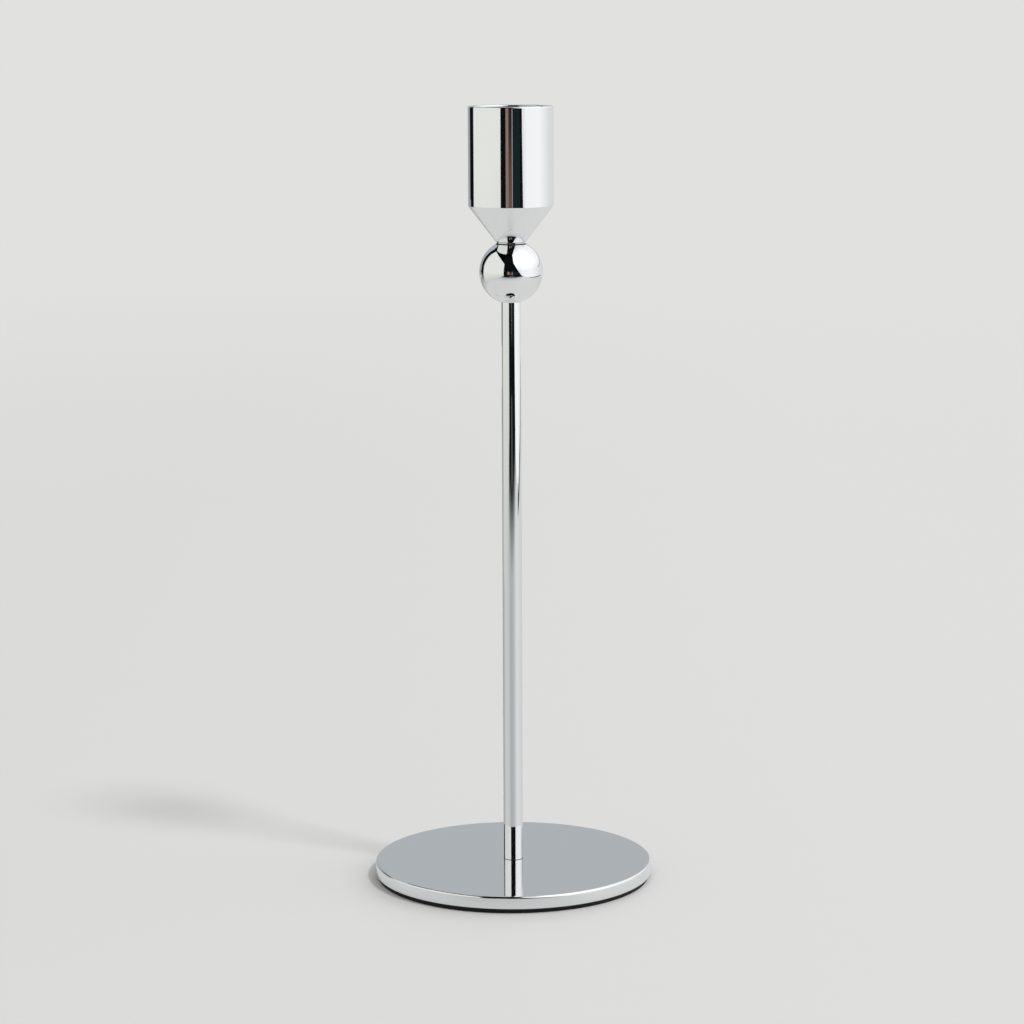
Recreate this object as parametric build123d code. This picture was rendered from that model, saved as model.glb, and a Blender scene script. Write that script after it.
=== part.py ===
from build123d import *
from math import sqrt
import os

# Taper candlestick in polished chrome: a flat round base on a thin pad, a straight stem,
# a ball, and a cup for one candle. Every piece is turned, so all of them share the Z axis.
# Millimetres, +Z up, origin on the floor at the centre of the base.

# Base, pad and the adhesive film between them
base_diameter = 90.0
base_thickness = 4.1
base_top_round = 0.75
base_bottom_chamfer = 0.15
pad_diameter = 88.5
pad_thickness = 1.4
film_diameter = 88.0
film_thickness = 0.1

# Stem, a solid rod tapped at both ends
stem_diameter = 6.3
stem_end_chamfer = 0.2
stem_seat_depth = 0.5
stem_seat_clearance = 0.02
tapped_depth = 12.0
drill_point_height = 1.2

# Ball
ball_diameter = 20.2
ball_centre = 197.7
ball_socket_top = 193.5
ball_socket_chamfer = 0.1

# Cup
overall_height = 250.0
cup_diameter = 27.0
cup_straight_height = 31.4
cup_corner_round = 0.5
neck_diameter = 9.3
neck_land_height = 0.4
neck_chamfer = 0.15
socket_diameter = 23.0
socket_depth = 25.0
socket_floor_round = 1.0
rim_outer_round = 0.35
rim_inner_round = 0.5

# M4 fasteners: a thread is a plain cylinder of its major diameter, on the screw and in the hole
thread_diameter = 4.0
thread_tip_chamfer = 0.6
clearance_diameter = 4.5
recess_diameter = 4.2
recess_tip_diameter = 1.2
recess_depth = 1.9
recess_arm_width = 1.0

# Long pan-head screw down through cup and ball, with its two washers
cup_screw_length = 35.0
cup_screw_seat = 217.0
counterbore_diameter = 9.6
pan_head_diameter = 8.0
pan_head_height = 3.1
pan_head_round = 1.8
plain_washer_diameter = 9.0
plain_washer_bore = 4.3
plain_washer_thickness = 0.8
spring_washer_diameter = 7.6
spring_washer_bore = 4.1
spring_washer_thickness = 0.9
spring_washer_gap = 0.7
spring_washer_gap_tilt = 25.0

# Countersunk screw up through the base
base_screw_length = 12.0
sunk_head_diameter = 7.5
sunk_head_rim = 0.45
sunk_head_set_back = 0.05
sunk_head_side_gap = 0.1

# Heights that follow from the sizes above
pad_top = pad_thickness
base_bottom = pad_top + film_thickness
base_top = base_bottom + base_thickness
stem_foot = base_top - stem_seat_depth
neck_bottom = ball_centre + sqrt(ball_diameter ** 2 - neck_diameter ** 2) / 2
cone_bottom = neck_bottom + neck_land_height
cone_top = overall_height - cup_straight_height
socket_floor = overall_height - socket_depth
spring_washer_bottom = cup_screw_seat + plain_washer_thickness
pan_head_bottom = spring_washer_bottom + spring_washer_thickness
sunk_head_bottom = base_bottom + sunk_head_set_back
sunk_cone_bottom = sunk_head_bottom + sunk_head_rim

stem_seat_diameter = stem_diameter + 2 * stem_seat_clearance
standing = (Align.CENTER, Align.CENTER, Align.MIN)


def rod(diameter, bottom, top):
    """Upright cylinder between two heights."""
    return Pos(0, 0, bottom) * Cylinder(diameter / 2, top - bottom, align=standing)


def taper(bottom_diameter, bottom, top_diameter, top):
    """Upright frustum between two heights."""
    frustum = Cone(bottom_diameter / 2, top_diameter / 2, top - bottom, align=standing)
    return Pos(0, 0, bottom) * frustum


def rims_at(shape, height):
    """Circular edges of a turned shape at one height, the innermost first."""
    circles = shape.edges().filter_by(GeomType.CIRCLE)
    level = circles.filter_by_position(Axis.Z, height - 0.001, height + 0.001)
    return level.sort_by(lambda edge: edge.radius)


def cross_recess():
    """Driver recess that opens upwards at the origin: a cross cut to a tapered point."""
    across = Box(recess_diameter, recess_arm_width, recess_depth, align=standing)
    along = Box(recess_arm_width, recess_diameter, recess_depth, align=standing)
    cross = Pos(0, 0, -recess_depth) * (across + along)
    return cross & taper(recess_tip_diameter, -recess_depth, recess_diameter, 0)


def tapped_hole():
    """Blind tapped hole that opens upwards at the origin, with its drill point."""
    drill_point = taper(0, -tapped_depth - drill_point_height, thread_diameter, -tapped_depth)
    return rod(thread_diameter, -tapped_depth, 0) + drill_point


def base_disc():
    disc = rod(base_diameter, base_bottom, base_top)
    disc = fillet(rims_at(disc, base_top), base_top_round)
    disc = chamfer(rims_at(disc, base_bottom), base_bottom_chamfer)
    head_hole_diameter = sunk_head_diameter + 2 * sunk_head_side_gap
    head_hole_top = sunk_cone_bottom - sunk_head_side_gap
    sink_top = sunk_cone_bottom + (sunk_head_diameter - clearance_diameter) / 2
    disc -= rod(head_hole_diameter, base_bottom, head_hole_top)
    disc -= taper(head_hole_diameter, head_hole_top, clearance_diameter, sink_top)
    disc -= rod(clearance_diameter, sink_top, stem_foot)
    return disc - rod(stem_seat_diameter, stem_foot, base_top)


def base_pad():
    return rod(pad_diameter, 0, pad_top)


def pad_film():
    return rod(film_diameter, pad_top, base_bottom)


def base_screw():
    cone_top_height = sunk_cone_bottom + (sunk_head_diameter - thread_diameter) / 2
    tip = sunk_head_bottom + base_screw_length
    shank = rod(thread_diameter, cone_top_height, tip)
    shank = chamfer(rims_at(shank, tip), thread_tip_chamfer)
    head = rod(sunk_head_diameter, sunk_head_bottom, sunk_cone_bottom)
    head += taper(sunk_head_diameter, sunk_cone_bottom, thread_diameter, cone_top_height)
    recess = Pos(0, 0, sunk_head_bottom) * Rot(X=180) * cross_recess()
    return head + shank - recess


def stem_rod():
    stem = rod(stem_diameter, stem_foot, ball_socket_top)
    stem = chamfer(rims_at(stem, stem_foot) + rims_at(stem, ball_socket_top), stem_end_chamfer)
    stem -= Pos(0, 0, ball_socket_top) * tapped_hole()
    return stem - Pos(0, 0, stem_foot) * Rot(X=180) * tapped_hole()


def ball():
    below_ball = ball_centre - ball_diameter
    sphere = Pos(0, 0, ball_centre) * Sphere(ball_diameter / 2)
    bead = sphere & rod(ball_diameter, below_ball, neck_bottom)
    bead = chamfer(rims_at(bead, neck_bottom), neck_chamfer)
    bead -= rod(stem_seat_diameter, below_ball, ball_socket_top)
    socket_mouth = bead.edges().filter_by(GeomType.CIRCLE).sort_by(Axis.Z)[0]
    bead = chamfer(socket_mouth, ball_socket_chamfer)
    return bead - rod(clearance_diameter, ball_socket_top, neck_bottom)


def candle_cup():
    cup = rod(neck_diameter, neck_bottom, cone_bottom)
    cup += taper(neck_diameter, cone_bottom, cup_diameter, cone_top)
    cup += rod(cup_diameter, cone_top, overall_height)
    cup = fillet(rims_at(cup, cone_top), cup_corner_round)
    cup = chamfer(rims_at(cup, neck_bottom), neck_chamfer)
    cup -= rod(socket_diameter, socket_floor, overall_height)
    cup = fillet(rims_at(cup, overall_height)[0], rim_inner_round)
    cup = fillet(rims_at(cup, overall_height)[-1], rim_outer_round)
    cup = fillet(rims_at(cup, socket_floor), socket_floor_round)
    cup -= rod(counterbore_diameter, cup_screw_seat, socket_floor)
    return cup - rod(clearance_diameter, neck_bottom, cup_screw_seat)


def cup_screw():
    tip = pan_head_bottom - cup_screw_length
    head_top = pan_head_bottom + pan_head_height
    shank = rod(thread_diameter, tip, pan_head_bottom)
    shank = chamfer(rims_at(shank, tip), thread_tip_chamfer)
    head = rod(pan_head_diameter, pan_head_bottom, head_top)
    head = fillet(rims_at(head, head_top), pan_head_round)
    return head + shank - Pos(0, 0, head_top) * cross_recess()


def cup_plain_washer():
    ring = rod(plain_washer_diameter, cup_screw_seat, spring_washer_bottom)
    return ring - rod(plain_washer_bore, cup_screw_seat, spring_washer_bottom)


def cup_spring_washer():
    ring = rod(spring_washer_diameter, spring_washer_bottom, pan_head_bottom)
    ring -= rod(spring_washer_bore, spring_washer_bottom, pan_head_bottom)
    middle = (spring_washer_bottom + pan_head_bottom) / 2
    slot = Box(spring_washer_diameter, spring_washer_gap, 3 * spring_washer_thickness)
    return ring - Pos(spring_washer_diameter / 2, 0, middle) * Rot(X=spring_washer_gap_tilt) * slot


pieces = {
    "base_pad": base_pad(),
    "pad_film": pad_film(),
    "base_disc": base_disc(),
    "base_screw": base_screw(),
    "stem_rod": stem_rod(),
    "ball": ball(),
    "candle_cup": candle_cup(),
    "cup_plain_washer": cup_plain_washer(),
    "cup_spring_washer": cup_spring_washer(),
    "cup_screw": cup_screw(),
}

os.makedirs("parts", exist_ok=True)
for name, piece in pieces.items():
    piece.label = name
    export_step(piece, f"parts/{name}.step")
    print(f"{name}: {piece.volume:.1f} mm3")
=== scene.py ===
# Polished chrome candlestick for one taper candle, on a pale table in soft studio light
# All in metres, Z up, the front of the object is -Y

import math
import bpy
import bmesh
from mathutils import Matrix, Vector


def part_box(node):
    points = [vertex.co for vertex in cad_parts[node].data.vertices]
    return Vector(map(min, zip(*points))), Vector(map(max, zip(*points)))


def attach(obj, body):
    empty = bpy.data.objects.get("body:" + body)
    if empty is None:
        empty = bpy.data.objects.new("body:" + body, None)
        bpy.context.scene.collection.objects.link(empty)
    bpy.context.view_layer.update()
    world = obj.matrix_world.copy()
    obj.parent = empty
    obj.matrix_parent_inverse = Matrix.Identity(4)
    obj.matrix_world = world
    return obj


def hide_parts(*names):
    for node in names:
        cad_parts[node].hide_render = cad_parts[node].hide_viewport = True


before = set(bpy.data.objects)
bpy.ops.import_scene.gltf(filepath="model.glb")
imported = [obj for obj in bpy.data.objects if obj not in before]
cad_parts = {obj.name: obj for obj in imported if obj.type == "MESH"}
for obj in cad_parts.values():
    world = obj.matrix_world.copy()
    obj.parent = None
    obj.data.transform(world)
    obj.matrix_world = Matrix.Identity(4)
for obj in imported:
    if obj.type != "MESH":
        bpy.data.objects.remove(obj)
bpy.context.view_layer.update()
mm = 0.001
print("frame loaded:", len(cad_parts), "pieces")


def deselectAll():
    if bpy.context.mode != "OBJECT":
        bpy.ops.object.mode_set(mode="OBJECT")
    bpy.ops.object.select_all(action="DESELECT")


def selectPoints(isWanted):
    # in edit mode, selects the points that the test picks by their place
    mesh = bmesh.from_edit_mesh(bpy.context.edit_object.data)
    bpy.ops.mesh.select_all(action="DESELECT")
    bpy.context.tool_settings.mesh_select_mode = (True, False, False)
    for point in mesh.verts:
        point.select = isWanted(point.co)
    mesh.select_flush_mode()
    bmesh.update_edit_mesh(bpy.context.edit_object.data)


def finishObject(name, smoothAngle=20):
    # leaves edit mode with the place in the mesh and the origin at zero
    bpy.ops.object.mode_set(mode="OBJECT")
    piece = bpy.context.object
    piece.name = name
    piece.data.name = name
    bpy.ops.object.transform_apply(location=True, rotation=True, scale=True)
    bpy.ops.object.shade_smooth_by_angle(angle=math.radians(smoothAngle))
    deselectAll()
    return piece


# every visible piece is turned, so one dictionary serves them all
lathe = {
    "hold": 0.06 * mm,         # point kept beside each rounding, so that flats stay flat
    "roundSegments": 8,
    "arcSegments": 56,
    "weldDistance": 0.0005 * mm,   # points nearer than this are the same point
}


def withHolds(corners):
    # adds a holding point on both sides of every rounded corner, and the length to cut back
    points = []
    count = len(corners)
    for number, corner in enumerate(corners):
        size = corner.get("round", 0)
        if not size:
            points.append(dict(corner))
            continue
        here = Vector(corner["at"])
        before = Vector(corners[number - 1]["at"])
        after = Vector(corners[(number + 1) % count]["at"])
        into = (here - before).normalized()
        out = (after - here).normalized()
        cutBack = size * math.tan(into.angle(out) / 2)
        points.append({"at": tuple(here - into * (cutBack + lathe["hold"]))})
        points.append({"at": corner["at"], "cutBack": cutBack})
        points.append({"at": tuple(here + out * (cutBack + lathe["hold"]))})
    return points


def turnPiece(name, corners, steps, closed=True):
    # corners run round the half section as (radius, height), then the outline is spun about Z
    points = withHolds(corners)
    deselectAll()
    radius, height = points[0]["at"]
    bpy.ops.mesh.primitive_plane_add(size=mm, location=(radius, 0, height))
    bpy.ops.object.mode_set(mode="EDIT")
    bpy.ops.mesh.merge(type="CENTER")
    for point in points[1:]:
        nextRadius, nextHeight = point["at"]
        if "arcCentre" in point:
            start = Vector((radius, height - point["arcCentre"]))
            end = Vector((nextRadius, nextHeight - point["arcCentre"]))
            bpy.ops.mesh.spin(steps=lathe["arcSegments"], angle=end.angle_signed(start),
                              center=(0, 0, point["arcCentre"]), axis=(0, 1, 0))
        else:
            step = (nextRadius - radius, 0, nextHeight - height)
            bpy.ops.mesh.extrude_region_move(TRANSFORM_OT_translate={"value": step})
        radius, height = nextRadius, nextHeight
    if closed:
        first = Vector((points[0]["at"][0], 0, points[0]["at"][1]))
        last = Vector((radius, 0, height))
        origin = Vector(bpy.context.edit_object.location)
        first -= origin
        last -= origin
        selectPoints(lambda co: min((co - first).length, (co - last).length) < lathe["weldDistance"])
        bpy.ops.mesh.edge_face_add()
    for point in points:
        if "cutBack" in point:
            place = Vector((point["at"][0], 0, point["at"][1])) - bpy.context.edit_object.location
            selectPoints(lambda co: (co - place).length < lathe["weldDistance"])
            bpy.ops.mesh.bevel(offset=point["cutBack"], offset_type="OFFSET", affect="VERTICES",
                               segments=lathe["roundSegments"], profile=0.5)
    bpy.ops.mesh.select_all(action="SELECT")
    bpy.ops.mesh.spin(steps=steps, angle=math.tau, center=(0, 0, 0), axis=(0, 0, 1))
    bpy.ops.mesh.select_all(action="SELECT")
    bpy.ops.mesh.remove_doubles(threshold=lathe["weldDistance"])
    bpy.ops.mesh.normals_make_consistent(inside=False)
    return finishObject(name)


def newFinish(name):
    finish = bpy.data.materials.new(name)
    finish.use_nodes = True
    nodes = finish.node_tree.nodes
    shader = nodes["Principled BSDF"]
    return finish, nodes, finish.node_tree.links, shader


def addNode(nodes, kind, values=None, **settings):
    node = nodes.new(kind)
    for key, value in settings.items():
        setattr(node, key, value)
    for key, value in (values or {}).items():
        node.inputs[key].default_value = value
    return node


def noiseAt(nodes, links, coordinates, stretch, scale, detail, rough=0.5):
    # noise on object coordinates, stretched along X, Y and Z
    mapping = addNode(nodes, "ShaderNodeMapping", {"Scale": stretch})
    links.new(coordinates, mapping.inputs["Vector"])
    values = {"Scale": scale, "Detail": detail, "Roughness": rough}
    noise = addNode(nodes, "ShaderNodeTexNoise", values)
    links.new(mapping.outputs["Vector"], noise.inputs["Vector"])
    return noise.outputs["Fac"]


def spread(nodes, links, source, fromLow, fromHigh, toLow, toHigh):
    ranger = addNode(nodes, "ShaderNodeMapRange", {"From Min": fromLow, "From Max": fromHigh,
                                                   "To Min": toLow, "To Max": toHigh})
    links.new(source, ranger.inputs["Value"])
    return ranger.outputs["Result"]


def doSum(nodes, links, operation, first, second):
    # first and second are sockets or plain numbers
    node = addNode(nodes, "ShaderNodeMath", operation=operation)
    for slotNumber, value in enumerate((first, second)):
        if isinstance(value, (int, float)):
            node.inputs[slotNumber].default_value = value
        else:
            links.new(value, node.inputs[slotNumber])
    return node.outputs["Value"]


def splitPlace(nodes, links, coordinates):
    split = addNode(nodes, "ShaderNodeSeparateXYZ")
    links.new(coordinates, split.inputs["Vector"])
    return split.outputs["X"], split.outputs["Y"], split.outputs["Z"]


def objectPlace(nodes):
    return addNode(nodes, "ShaderNodeTexCoord").outputs["Object"]


def distanceOf(nodes, links, coordinates):
    length = addNode(nodes, "ShaderNodeVectorMath", operation="LENGTH")
    links.new(coordinates, length.inputs[0])
    return length.outputs["Value"]


mixSockets = {"factor": 0, "first": 6, "second": 7, "result": 2}   # of the mix node set to colour


def mixColours(nodes, links, factor, first, second):
    # first and second are sockets or plain colours
    mix = addNode(nodes, "ShaderNodeMix", data_type="RGBA")
    links.new(factor, mix.inputs[mixSockets["factor"]])
    for side, value in (("first", first), ("second", second)):
        if isinstance(value, tuple):
            mix.inputs[mixSockets[side]].default_value = (*value, 1)
        else:
            links.new(value, mix.inputs[mixSockets[side]])
    return mix.outputs[mixSockets["result"]]


def rampColour(nodes, links, source, shader, low, high):
    # base colour that runs between two stops, each a position and a colour
    ramp = addNode(nodes, "ShaderNodeValToRGB")
    for element, (position, colour) in zip(ramp.color_ramp.elements, (low, high)):
        element.position = position
        element.color = (*colour, 1)
    links.new(source, ramp.inputs["Fac"])
    links.new(ramp.outputs["Color"], shader.inputs["Base Color"])


def bumpFrom(nodes, links, source, shader, strength, distance):
    bump = addNode(nodes, "ShaderNodeBump", {"Strength": strength, "Distance": distance})
    links.new(source, bump.inputs["Height"])
    links.new(bump.outputs["Normal"], shader.inputs["Normal"])


def chromeFinish(name, peelStretch, peelDepth, jointHeight, jointHalf):
    # bright plate: a mirror with faint orange peel, thin smears and hairline polishing marks,
    # and old polish that dried in the joint at one height
    chrome = {"plate": (0.86, 0.87, 0.88), "driedPolish": (0.012, 0.011, 0.010), "polishRough": 0.6,
              "smearScale": 90, "hairlineScale": 900, "peelScale": 2400}
    finish, nodes, links, shader = newFinish(name)
    shader.inputs["Metallic"].default_value = 1
    place = objectPlace(nodes)
    height = splitPlace(nodes, links, place)[2]
    away = doSum(nodes, links, "ABSOLUTE", doSum(nodes, links, "SUBTRACT", height, jointHeight), 0)
    dirt = spread(nodes, links, away, jointHalf * 0.75, jointHalf * 1.1, 1, 0)
    colour = mixColours(nodes, links, dirt, chrome["plate"], chrome["driedPolish"])
    links.new(colour, shader.inputs["Base Color"])
    smears = noiseAt(nodes, links, place, (1, 1, 0.5), chrome["smearScale"], 4, 0.6)
    hairlines = noiseAt(nodes, links, place, (1, 1, 14), chrome["hairlineScale"], 2)
    smearRough = spread(nodes, links, smears, 0.35, 0.75, 0.025, 0.06)
    lineRough = spread(nodes, links, hairlines, 0.4, 0.8, 0, 0.02)
    dirtRough = doSum(nodes, links, "MULTIPLY", dirt, chrome["polishRough"])
    plateRough = doSum(nodes, links, "ADD", smearRough, lineRough)
    links.new(doSum(nodes, links, "ADD", plateRough, dirtRough), shader.inputs["Roughness"])
    peel = noiseAt(nodes, links, place, peelStretch, chrome["peelScale"], 2)
    bumpFrom(nodes, links, peel, shader, 1.0, peelDepth)
    return finish


def dullInside(finish, mouth, socketFloor, screwSeat, wall, bore):
    # plate hardly reaches into the socket, so it turns dull and grey a few millimetres down
    inside = {"brightTo": 1 * mm, "dullFrom": 7 * mm, "margin": 0.5 * mm,
              "grey": (0.40, 0.395, 0.385), "extraRough": 0.36, "metallic": 0.35}
    nodes = finish.node_tree.nodes
    links = finish.node_tree.links
    shader = nodes["Principled BSDF"]
    place = objectPlace(nodes)
    height = splitPlace(nodes, links, place)[2]
    flat = addNode(nodes, "ShaderNodeVectorMath", {1: (1, 1, 0)}, operation="MULTIPLY")
    links.new(place, flat.inputs[0])
    radius = distanceOf(nodes, links, flat.outputs["Vector"])
    reach = spread(nodes, links, height, socketFloor - 3 * mm, socketFloor - 2 * mm, bore, wall)
    within = doSum(nodes, links, "LESS_THAN", radius, reach)
    above = doSum(nodes, links, "GREATER_THAN", height, screwSeat - inside["margin"])
    deep = spread(nodes, links, height, mouth - inside["brightTo"], mouth - inside["dullFrom"], 0, 1)
    patches = noiseAt(nodes, links, place, (1, 1, 0.6), 210, 4, 0.6)
    uneven = spread(nodes, links, patches, 0.3, 0.7, 0.75, 1)
    inner = doSum(nodes, links, "MULTIPLY", within, above)
    dull = doSum(nodes, links, "MULTIPLY", doSum(nodes, links, "MULTIPLY", inner, deep), uneven)
    plate = shader.inputs["Base Color"].links[0].from_socket
    links.new(mixColours(nodes, links, dull, plate, inside["grey"]), shader.inputs["Base Color"])
    roughness = shader.inputs["Roughness"].links[0].from_socket
    extra = doSum(nodes, links, "MULTIPLY", dull, inside["extraRough"])
    links.new(doSum(nodes, links, "ADD", roughness, extra), shader.inputs["Roughness"])
    links.new(spread(nodes, links, dull, 0, 1, 1, inside["metallic"]), shader.inputs["Metallic"])


def rubberFinish():
    finish, nodes, links, shader = newFinish("matt_black_rubber")
    place = objectPlace(nodes)
    shader.inputs["Specular IOR Level"].default_value = 0.2
    mottle = noiseAt(nodes, links, place, (1, 1, 1), 260, 5, 0.6)
    rampColour(nodes, links, mottle, shader, (0.3, (0.005, 0.005, 0.0055)), (0.8, (0.013, 0.013, 0.0135)))
    links.new(spread(nodes, links, mottle, 0.3, 0.8, 0.5, 0.75), shader.inputs["Roughness"])
    grain = noiseAt(nodes, links, place, (1, 1, 1), 4200, 3, 0.7)
    bumpFrom(nodes, links, grain, shader, 0.6, 0.03 * mm)
    return finish


def zincFinish():
    # satin zinc plate with a little yellow and blue bloom
    finish, nodes, links, shader = newFinish("satin_zinc_plate")
    shader.inputs["Metallic"].default_value = 1
    place = objectPlace(nodes)
    bloom = noiseAt(nodes, links, place, (1, 1, 1), 420, 3)
    rampColour(nodes, links, bloom, shader, (0.3, (0.56, 0.58, 0.62)), (0.75, (0.68, 0.66, 0.60)))
    drawn = noiseAt(nodes, links, place, (1, 1, 9), 2600, 3, 0.6)
    links.new(spread(nodes, links, drawn, 0.3, 0.8, 0.24, 0.42), shader.inputs["Roughness"])
    bumpFrom(nodes, links, drawn, shader, 0.5, 0.01 * mm)
    return finish


def springFinish():
    # dark oiled spring steel with bare worn spots
    finish, nodes, links, shader = newFinish("oiled_spring_steel")
    shader.inputs["Metallic"].default_value = 1
    place = objectPlace(nodes)
    worn = noiseAt(nodes, links, place, (1, 1, 1), 900, 5, 0.65)
    rampColour(nodes, links, worn, shader, (0.45, (0.16, 0.15, 0.145)), (0.7, (0.42, 0.41, 0.40)))
    links.new(spread(nodes, links, worn, 0.4, 0.75, 0.28, 0.5), shader.inputs["Roughness"])
    bumpFrom(nodes, links, worn, shader, 0.5, 0.012 * mm)
    return finish


def filmFinish():
    # cloudy double-sided film
    finish, nodes, links, shader = newFinish("cloudy_adhesive_film")
    place = objectPlace(nodes)
    clouds = noiseAt(nodes, links, place, (1, 1, 1), 180, 4, 0.6)
    rampColour(nodes, links, clouds, shader, (0, (0.60, 0.58, 0.51)), (1, (0.80, 0.79, 0.73)))
    links.new(spread(nodes, links, clouds, 0.3, 0.7, 0.35, 0.6), shader.inputs["Roughness"])
    bumpFrom(nodes, links, clouds, shader, 0.4, 0.02 * mm)
    return finish


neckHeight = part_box("ball")[1].z
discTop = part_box("base_disc")[1].z
turnedChrome = chromeFinish("turned_chrome", (1, 1, 0.8), 0.0006 * mm, neckHeight, 0.19 * mm)
discChrome = chromeFinish("disc_chrome", (1, 1, 1), 0.0003 * mm, 0, 0.2 * mm)
drawnChrome = chromeFinish("drawn_chrome", (1, 1, 0.35), 0.0018 * mm, discTop, 0.13 * mm)
matRubber = rubberFinish()
zincPlate = zincFinish()
springSteel = springFinish()
adhesiveFilm = filmFinish()
print("finishes made")


def placePiece(piece, node, finish):
    piece.data.materials.clear()
    piece.data.materials.append(finish)
    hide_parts(node)
    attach(piece, "root")


def makeDisc():
    low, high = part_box("base_disc")
    screwLow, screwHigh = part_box("base_screw")
    stemLow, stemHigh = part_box("stem_rod")
    disc = {"topRound": 0.75 * mm, "bottomChamfer": 0.15 * mm, "clearance": 0.02 * mm,
            "headGap": 0.1 * mm, "headRim": 0.45 * mm, "shankHole": 2.25 * mm, "steps": 224}
    radius = high.x
    seat = stemHigh.x + disc["clearance"]
    headHole = screwHigh.x + disc["headGap"]
    rimTop = screwLow.z + disc["headRim"]
    sinkTop = rimTop + screwHigh.x - disc["shankHole"]
    corners = [
        {"at": (seat, high.z)},
        {"at": (radius, high.z), "round": disc["topRound"]},
        {"at": (radius, low.z + disc["bottomChamfer"])},
        {"at": (radius - disc["bottomChamfer"], low.z)},
        {"at": (headHole, low.z)},
        {"at": (headHole, rimTop - disc["headGap"])},
        {"at": (disc["shankHole"], sinkTop)},
        {"at": (disc["shankHole"], stemLow.z)},
        {"at": (seat, stemLow.z)},
    ]
    piece = turnPiece("turned_base_disc", corners, disc["steps"])
    placePiece(piece, "base_disc", discChrome)


def makePad():
    low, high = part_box("base_pad")
    pad = {"edgeRound": 0.18 * mm, "steps": 160}
    corners = [
        {"at": (0, low.z)},
        {"at": (high.x, low.z), "round": pad["edgeRound"]},
        {"at": (high.x, high.z), "round": pad["edgeRound"]},
        {"at": (0, high.z)},
    ]
    piece = turnPiece("rubber_base_pad", corners, pad["steps"], closed=False)
    placePiece(piece, "base_pad", matRubber)


def makeStem():
    low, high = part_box("stem_rod")
    stem = {"endChamfer": 0.2 * mm, "tappedRadius": 2.0 * mm, "tappedDepth": 12 * mm,
            "drillPoint": 1.2 * mm, "steps": 128}
    radius = high.x
    corners = [
        {"at": (0, low.z + stem["tappedDepth"] + stem["drillPoint"])},
        {"at": (stem["tappedRadius"], low.z + stem["tappedDepth"])},
        {"at": (stem["tappedRadius"], low.z)},
        {"at": (radius - stem["endChamfer"], low.z)},
        {"at": (radius, low.z + stem["endChamfer"])},
        {"at": (radius, high.z - stem["endChamfer"])},
        {"at": (radius - stem["endChamfer"], high.z)},
        {"at": (stem["tappedRadius"], high.z)},
        {"at": (stem["tappedRadius"], high.z - stem["tappedDepth"])},
        {"at": (0, high.z - stem["tappedDepth"] - stem["drillPoint"])},
    ]
    piece = turnPiece("drawn_stem_rod", corners, stem["steps"], closed=False)
    placePiece(piece, "stem_rod", drawnChrome)


def makeBall():
    low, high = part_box("ball")
    stemLow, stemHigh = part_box("stem_rod")
    ball = {"neckRadius": 4.65 * mm, "neckChamfer": 0.15 * mm, "mouthChamfer": 0.1 * mm,
            "clearance": 0.02 * mm, "shankHole": 2.25 * mm, "steps": 144}
    radius = high.x
    top = high.z
    centre = top - math.sqrt(radius ** 2 - ball["neckRadius"] ** 2)
    seat = stemHigh.x + ball["clearance"]
    mouth = seat + ball["mouthChamfer"]
    mouthHeight = centre - math.sqrt(radius ** 2 - mouth ** 2)
    rimHeight = top - ball["neckChamfer"] / 2
    rim = math.sqrt(radius ** 2 - (rimHeight - centre) ** 2)
    corners = [
        {"at": (ball["shankHole"], stemHigh.z)},
        {"at": (seat, stemHigh.z)},
        {"at": (seat, mouthHeight + ball["mouthChamfer"])},
        {"at": (mouth, mouthHeight)},
        {"at": (rim, rimHeight), "arcCentre": centre},
        {"at": (ball["neckRadius"] - ball["neckChamfer"], top)},
        {"at": (ball["shankHole"], top)},
    ]
    piece = turnPiece("turned_ball", corners, ball["steps"])
    placePiece(piece, "ball", turnedChrome)


def makeCup():
    low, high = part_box("candle_cup")
    washerLow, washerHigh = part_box("cup_plain_washer")
    cup = {"neckRadius": 4.65 * mm, "neckChamfer": 0.15 * mm, "neckLand": 0.4 * mm,
           "straight": 31.4 * mm, "cornerRound": 0.5 * mm, "outerRim": 0.35 * mm, "innerRim": 0.5 * mm,
           "socketRadius": 11.5 * mm, "socketDepth": 25 * mm, "floorRound": 1.0 * mm,
           "washerGap": 0.3 * mm, "shankHole": 2.25 * mm, "steps": 192}
    radius = high.x
    coneTop = high.z - cup["straight"]
    socketFloor = high.z - cup["socketDepth"]
    counterbore = washerHigh.x + cup["washerGap"]
    corners = [
        {"at": (cup["shankHole"], low.z)},
        {"at": (cup["neckRadius"] - cup["neckChamfer"], low.z)},
        {"at": (cup["neckRadius"], low.z + cup["neckChamfer"])},
        {"at": (cup["neckRadius"], low.z + cup["neckLand"])},
        {"at": (radius, coneTop), "round": cup["cornerRound"]},
        {"at": (radius, high.z), "round": cup["outerRim"]},
        {"at": (cup["socketRadius"], high.z), "round": cup["innerRim"]},
        {"at": (cup["socketRadius"], socketFloor), "round": cup["floorRound"]},
        {"at": (counterbore, socketFloor)},
        {"at": (counterbore, washerLow.z)},
        {"at": (cup["shankHole"], washerLow.z)},
    ]
    piece = turnPiece("turned_candle_cup", corners, cup["steps"])
    wall = cup["socketRadius"] + cup["innerRim"]
    dullInside(turnedChrome, high.z, socketFloor, washerLow.z, wall, counterbore + cup["washerGap"])
    placePiece(piece, "candle_cup", turnedChrome)


makeDisc()
makePad()
makeStem()
makeBall()
makeCup()
print("turned pieces made")

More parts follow.
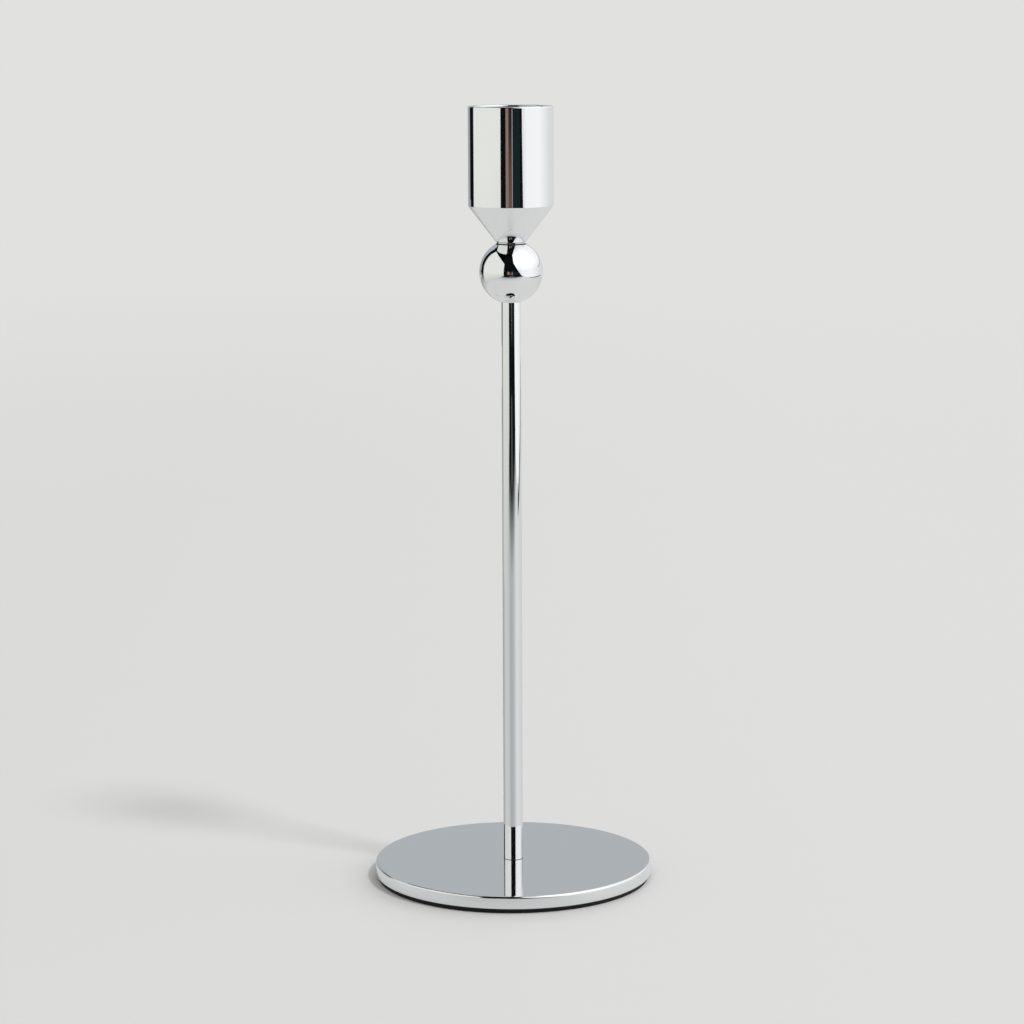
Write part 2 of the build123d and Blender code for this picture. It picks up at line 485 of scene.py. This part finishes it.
hiddenPieces = {
    "pad_film": ("film_plastic", adhesiveFilm),
    "base_screw": ("zinc_steel", zincPlate),
    "cup_screw": ("zinc_steel", zincPlate),
    "cup_plain_washer": ("zinc_steel", zincPlate),
    "cup_spring_washer": ("spring_steel", springSteel),
}
for node, (slotName, finish) in hiddenPieces.items():
    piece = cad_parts[node]
    piece.data.materials.clear()
    piece.data.materials.append(finish)
print("fasteners and film painted")


studio = {
    "wall": (0.753, 0.753, 0.738),          # what shows far behind the object
    # painted light: the table's pale colour, dimmer on the left and lighter on the right
    "tableDimLeft": (0.540, 0.540, 0.542),
    "tableLitRight": (0.567, 0.567, 0.569),
    "tableReach": 11,
    "tableHole": 44.0 * mm,                 # open under the pad, smaller than the pad
    "paintedLightHalf": 0.2,                        # painted light: the table is dimmer on the left and lighter on the right, where more light falls, over this far to each side
    "blendFrom": 0.8,                       # where the table starts to take on the wall's tone
    "blendTo": 2.2,
    "keyStrength": 1.25,
    "keyFrom": (0.4525, -0.3134, 0.835),
    "keySize": 9,
    "fillStrength": 0.80,
    "fillFrom": (0.85, 0.10, 0.45),
    "fillSize": 50,
    "backStrength": 0.90,
    "backFrom": (0.25, 0.90, 0.36),
    "backSize": 36,
}


def glow(name, colour):
    paint = bpy.data.materials.new(name)
    paint.use_nodes = True
    nodes = paint.node_tree.nodes
    nodes.clear()
    emit = addNode(nodes, "ShaderNodeEmission", {"Color": (*colour, 1), "Strength": 1.0})
    output = addNode(nodes, "ShaderNodeOutputMaterial")
    paint.node_tree.links.new(emit.outputs["Emission"], output.inputs["Surface"])
    return paint


def mirrorOnly(card):
    # a card that shows only in the metal's reflections
    card.visible_camera = False
    card.visible_diffuse = False
    card.visible_shadow = False
    card.visible_transmission = False
    card.visible_volume_scatter = False


def flatCard(name, corner, along, up, paint):
    # four-sided card from a corner and two sides
    deselectAll()
    bpy.ops.mesh.primitive_plane_add(size=1)
    card = bpy.context.object
    card.name = name
    across = Vector(along)
    rise = Vector(up)
    middle = Vector(corner) + (across + rise) / 2
    normal = across.cross(rise).normalized()
    card.data.transform(Matrix((
        (across.x, rise.x, normal.x, middle.x),
        (across.y, rise.y, normal.y, middle.y),
        (across.z, rise.z, normal.z, middle.z),
        (0, 0, 0, 1))))
    card.data.materials.append(paint)
    mirrorOnly(card)


def bentCard(name, reach, fromAngle, toAngle, foot, top, paint):
    # upright card bent round the Z axis, angles in degrees from the front, to the right
    deselectAll()
    start = math.radians(fromAngle)
    sweep = math.radians(toAngle - fromAngle)
    place = (reach * math.sin(start), -reach * math.cos(start), foot)
    bpy.ops.mesh.primitive_plane_add(size=mm, location=place)
    bpy.ops.object.mode_set(mode="EDIT")
    bpy.ops.mesh.merge(type="CENTER")
    bpy.ops.mesh.extrude_region_move(TRANSFORM_OT_translate={"value": (0, 0, top - foot)})
    bpy.ops.mesh.select_all(action="SELECT")
    degreesPerStep = 4
    steps = max(2, int(abs(toAngle - fromAngle) / degreesPerStep))
    bpy.ops.mesh.spin(steps=steps, angle=-sweep, center=(0, 0, 0), axis=(0, 0, 1))
    card = finishObject(name, 60)
    card.data.materials.append(paint)
    mirrorOnly(card)


def domeCard(name, centreHeight, outline, paint):
    # patch of a dome: each row of the outline is angle, reach, lowest and highest elevation
    deselectAll()
    mesh = bpy.data.meshes.new(name)
    card = bpy.data.objects.new(name, mesh)
    bpy.context.scene.collection.objects.link(card)
    shape = bmesh.new()
    rows = []
    levels = 12
    for angle, reach, lowElevation, highElevation in outline:
        row = []
        for level in range(levels + 1):
            elevation = math.radians(lowElevation + (highElevation - lowElevation) * level / levels)
            turn = math.radians(angle)
            row.append(shape.verts.new((
                reach * math.sin(turn) * math.cos(elevation),
                -reach * math.cos(turn) * math.cos(elevation),
                max(0.001, centreHeight + reach * math.sin(elevation)))))
        rows.append(row)
    for left, right in zip(rows, rows[1:]):
        for level in range(levels):
            shape.faces.new((left[level], right[level], right[level + 1], left[level + 1]))
    shape.to_mesh(mesh)
    shape.free()
    card.data.materials.append(paint)
    mirrorOnly(card)


def angleRamp(nodes, links, place, stops):
    # colour by the angle round the Z axis, in degrees from the front, to the right
    x, y = splitPlace(nodes, links, place)[:2]
    turn = doSum(nodes, links, "ARCTAN2", x, doSum(nodes, links, "MULTIPLY", y, -1))
    ramp = addNode(nodes, "ShaderNodeValToRGB")
    elements = ramp.color_ramp.elements
    while len(elements) < len(stops):
        elements.new(0.5)
    for element, (angle, level) in zip(elements, stops):
        element.position = (angle + 180) / 360
        element.color = (level, level, level, 1)
    links.new(spread(nodes, links, turn, -math.pi, math.pi, 0, 1), ramp.inputs["Fac"])
    return ramp.outputs["Color"]


def emitter(nodes):
    return [node for node in nodes if node.type == "EMISSION"][0]


def softboxGlow():
    # hot at the front right, dimmer round the back and near its foot
    stops = [
        (10, 0.88), (35, 0.86), (43, 0.98), (84, 1.0), (95, 0.92), (108, 0.86), (125, 0.77), (147, 0.72)]
    paint = glow("softbox_glow", (1, 1, 1))
    nodes = paint.node_tree.nodes
    links = paint.node_tree.links
    place = objectPlace(nodes)
    links.new(angleRamp(nodes, links, place, stops), emitter(nodes).inputs["Color"])
    height = splitPlace(nodes, links, place)[2]
    links.new(spread(nodes, links, height, 0.28, 0.7, 1.04, 1.40), emitter(nodes).inputs["Strength"])
    return paint


def risingGlow(name, colour, low, high, atLow, atHigh):
    # glow that changes with height, between two heights and two strengths
    paint = glow(name, colour)
    nodes = paint.node_tree.nodes
    links = paint.node_tree.links
    height = splitPlace(nodes, links, objectPlace(nodes))[2]
    links.new(spread(nodes, links, height, low, high, atLow, atHigh), emitter(nodes).inputs["Strength"])
    return paint


def wallGlow():
    # grey wall behind, darker to the left
    paint = glow("wall_grey", (0.458, 0.486, 0.503))
    nodes = paint.node_tree.nodes
    links = paint.node_tree.links
    across = splitPlace(nodes, links, objectPlace(nodes))[0]
    links.new(spread(nodes, links, across, -1.0, -0.3, 0.72, 1.0), emitter(nodes).inputs["Strength"])
    return paint


sheen = {
    "radius": 1.3,
    "height": 0.4 * mm,
    "darkFrom": 0.53,                       # in front of the object the room's dark takes over
    "darkTo": 0.80,
    "darkLevel": 0.02,
    "clearRadius": 0.046,                   # clear close round the disc, so that contact stays real
    "fullRadius": 0.066,
    "clearFacing": 0.5,                     # clear when it is looked at from well above
    "fullFacing": 0.74,
    "stops": [
        (-150, 0.42), (-128, 0.42), (-92, 0.65), (-62, 0.655), (-43, 0.60), (-21, 0.475), (0, 0.485),
        (21, 0.57), (43, 0.77), (68, 0.775), (95, 0.735), (135, 0.68)],
}


def sheenPaint():
    # what the table's satin surface mirrors at a low angle: less light from the dark front
    paint = glow("table_sheen", (1, 1, 1))
    nodes = paint.node_tree.nodes
    links = paint.node_tree.links
    place = objectPlace(nodes)
    links.new(angleRamp(nodes, links, place, sheen["stops"]), emitter(nodes).inputs["Color"])
    front = doSum(nodes, links, "MULTIPLY", splitPlace(nodes, links, place)[1], -1)
    level = spread(nodes, links, front, sheen["darkFrom"], sheen["darkTo"], 1, sheen["darkLevel"])
    links.new(level, emitter(nodes).inputs["Strength"])
    away = distanceOf(nodes, links, place)
    beyond = spread(nodes, links, away, sheen["clearRadius"], sheen["fullRadius"], 0, 1)
    facing = addNode(nodes, "ShaderNodeLayerWeight", {"Blend": 0.5}).outputs["Facing"]
    low = spread(nodes, links, facing, sheen["clearFacing"], sheen["fullFacing"], 0, 1)
    mix = addNode(nodes, "ShaderNodeMixShader")
    links.new(doSum(nodes, links, "MULTIPLY", beyond, low), mix.inputs["Fac"])
    links.new(addNode(nodes, "ShaderNodeBsdfTransparent").outputs["BSDF"], mix.inputs[1])
    links.new(emitter(nodes).outputs["Emission"], mix.inputs[2])
    output = [node for node in nodes if node.type == "OUTPUT_MATERIAL"][0]
    links.new(mix.outputs["Shader"], output.inputs["Surface"])
    return paint


def tablePaint():
    # pale top, painted lighter to the right where more light falls, that fades into the wall's tone far
    # away, clear from below
    paint = bpy.data.materials.new("table_paint")
    paint.use_nodes = True
    nodes = paint.node_tree.nodes
    links = paint.node_tree.links
    nodes.clear()
    place = objectPlace(nodes)
    away = distanceOf(nodes, links, place)
    fade = spread(nodes, links, away, studio["blendFrom"], studio["blendTo"], 0, 1)
    across = splitPlace(nodes, links, place)[0]
    side = spread(nodes, links, across, -studio["paintedLightHalf"], studio["paintedLightHalf"], 0, 1)
    matt = addNode(nodes, "ShaderNodeBsdfDiffuse")
    # painted light: the pale colour runs from dimmer on the left to lighter on the right
    tone = mixColours(nodes, links, side, studio["tableDimLeft"], studio["tableLitRight"])
    links.new(tone, matt.inputs["Color"])
    emit = addNode(nodes, "ShaderNodeEmission", {"Color": (*studio["wall"], 1)})
    clear = addNode(nodes, "ShaderNodeBsdfTransparent")
    top = addNode(nodes, "ShaderNodeMixShader")
    links.new(fade, top.inputs["Fac"])
    links.new(matt.outputs["BSDF"], top.inputs[1])
    links.new(emit.outputs["Emission"], top.inputs[2])
    sided = addNode(nodes, "ShaderNodeMixShader")
    links.new(addNode(nodes, "ShaderNodeNewGeometry").outputs["Backfacing"], sided.inputs["Fac"])
    links.new(top.outputs["Shader"], sided.inputs[1])
    links.new(clear.outputs["BSDF"], sided.inputs[2])
    output = addNode(nodes, "ShaderNodeOutputMaterial")
    links.new(sided.outputs["Shader"], output.inputs["Surface"])
    return paint


def makeTable():
    # wide ring, open under the pad so that the underside can be seen from below
    deselectAll()
    hole = studio["tableHole"]
    bpy.ops.mesh.primitive_circle_add(vertices=96, radius=hole, fill_type="NOTHING")
    table = bpy.context.object
    table.name = "table_top"
    bpy.ops.object.mode_set(mode="EDIT")
    bpy.ops.mesh.select_all(action="SELECT")
    bpy.ops.mesh.extrude_edges_move()
    bpy.ops.transform.resize(value=[studio["tableReach"] / hole] * 3)
    bpy.ops.mesh.select_all(action="SELECT")
    bpy.ops.mesh.normals_make_consistent(inside=False)
    bpy.ops.object.mode_set(mode="OBJECT")
    if table.data.polygons[0].normal.z < 0:
        table.data.flip_normals()
    table.data.materials.append(tablePaint())

    # painted reflection: a glowing card just above the table, seen only in the metal, stands in for what
    # the table's satin top mirrors at a low angle
    deselectAll()
    bpy.ops.mesh.primitive_circle_add(vertices=96, radius=sheen["radius"], fill_type="TRIFAN",
                                      location=(0, 0, sheen["height"]))
    sheenCard = bpy.context.object
    sheenCard.name = "table_sheen"
    sheenCard.data.materials.append(sheenPaint())
    mirrorOnly(sheenCard)


def makeCards():
    # what the metal mirrors: panel on the left, softbox on the right, dark room in front; the panel, walls
    # and ceiling are glowing cards in place of lit surfaces, painted light that shows only in the metal
    black = glow("room_dark", (0.004, 0.005, 0.006))
    panel = risingGlow("panel_white", (0.866, 0.875, 0.823), 0.0, 0.2, 0.76, 1.0)
    post = risingGlow("post_dark", (0.55, 0.56, 0.57), 0.0, 0.15, 0.9, 0.008)
    brown = risingGlow("red_brown", (0.17, 0.080, 0.058), 0.15, 0.2, 1.0, 0.22)
    roomGrey = glow("room_grey", (0.46, 0.48, 0.50))
    ceilingWhite = glow("ceiling_white", (0.60, 0.61, 0.61))
    pinkGrey = glow("pink_grey", (0.26, 0.19, 0.165))
    paleLine = glow("pale_line", (0.30, 0.30, 0.29))
    tealBlack = glow("teal_black", (0.010, 0.018, 0.023))
    stripsReflectionGrey = glow("grey_strips_reflection", (0.08, 0.08, 0.075))

    softboxOutline = [
        (10, 1.30, 40, 62), (12, 1.30, 33, 72), (15, 1.30, 28, 75), (20, 1.25, 18, 75), (25, 1.20, 10, 75),
        (31, 1.10, 0, 75), (38, 1.00, -8, 75), (45, 0.98, -14, 75), (53, 0.93, -14, 75),
        (69, 0.87, -14, 75), (84, 0.87, -14, 75), (92, 0.92, -13, 75), (101, 1.04, -12, 75),
        (120, 1.35, -9, 75), (135, 1.70, -7, 75), (150, 1.75, -7, 72), (170, 1.75, -6, 60)]
    ballCentre = 0.198
    domeCard("right_softbox", ballCentre, softboxOutline, softboxGlow())

    # name, reach, first and last angle, foot, top, paint
    for row in (
        ("back_wall", 1.6, 166, 221, 0, 0.75, wallGlow()),
        ("room_wall", 2.6, 166, 325, 0, 2.3, roomGrey),
        ("dark_post_far", 0.62, 223, 241, 0, 0.26, post),
        ("dark_post_near", 0.15, 223, 241, 0.212, 0.377, black),
        ("dark_post_foot", 0.60, 217, 247, 0.160, 0.178, black),
        ("grey_right_foot", 1.25, 112, 168, 0.335, 0.385, roomGrey),
        ("dark_front", 1.5, -35, 35, 0, 3, black),
        ("pink_strip", 1.2, -13.2, -5.6, 0.085, 0.3, pinkGrey),
        ("red_strip", 1.2, -5.6, 2.2, 0.085, 0.3, brown),
        ("light_line", 1.2, 3.0, 5.4, 0.05, 0.3, paleLine),
        ("teal_strip", 1.2, 7, 25, 0.05, 0.3, tealBlack),
    ):
        bentCard(*row)

    # name, corner, one side, the other side, paint; the last four lie on the table
    for row in (
        ("left_panel", (-0.5, 0.255, 0), (0, -1.235, 0), (0, 0, 0.863), panel),
        ("ceiling", (-0.9, 0.15, 2.5), (1.8, 0, 0), (0, 2.2, 0), ceilingWhite),
        ("table_front_dark", (-3, -3, 0.0006), (6, 0, 0), (0, 2.18, 0), black),
        # painted reflection: a grey line on the dark front, for the strips as mirrored in the table's
        # satin top
        ("table_front_strips_reflection", (-0.10, -1.25, 0.0009), (0.28, 0, 0), (0, 0.43, 0), stripsReflectionGrey),
        # painted shade: two dark cards for the shadow gap along the table's right edge
        ("table_edge_shade_near", (0.69, -0.21, 0.0008), (0.135, 0.40, 0), (0.075, -0.025, 0), black),
        ("table_edge_shade_far", (0.83, 0.19, 0.0008), (0.14, 0.90, 0), (0.10, -0.03, 0), black),
    ):
        flatCard(*row)


def makeLight():
    world = bpy.data.worlds.new("pale_room")
    bpy.context.scene.world = world
    world.use_nodes = True
    world.node_tree.nodes["Background"].inputs["Color"].default_value = (*studio["wall"], 1)
    world.cycles_visibility.glossy = False
    for name in ("key", "fill", "back"):
        deselectAll()
        bpy.ops.object.light_add(type="SUN")
        lamp = bpy.context.object
        lamp.name = name + "_light"
        lamp.data.energy = studio[name + "Strength"]
        lamp.data.angle = math.radians(studio[name + "Size"])
        lamp.rotation_euler = Vector(studio[name + "From"]).to_track_quat("Z", "Y").to_euler()
        lamp.visible_glossy = False


def makeCamera():
    shot = {"place": (0, -0.969, 0.280), "aim": (0, 0, 0.1204), "lens": 107.3, "sensor": 36,
            "lean": -0.227, "nearest": 0.01, "farthest": 30}
    toObject = Vector(shot["aim"]) - Vector(shot["place"])
    turn = toObject.to_track_quat("-Z", "Y").to_matrix().to_4x4()
    deselectAll()
    bpy.ops.object.camera_add(location=shot["place"])
    camera = bpy.context.object
    camera.name = "shot_camera"
    camera.rotation_euler = (turn @ Matrix.Rotation(math.radians(shot["lean"]), 4, "Z")).to_euler()
    camera.data.lens = shot["lens"]
    camera.data.sensor_width = shot["sensor"]
    camera.data.clip_start = shot["nearest"]
    camera.data.clip_end = shot["farthest"]
    bpy.context.scene.camera = camera


makeTable()
makeCards()
makeLight()
makeCamera()
bpy.context.scene.view_settings.view_transform = "Standard"
print("studio set")
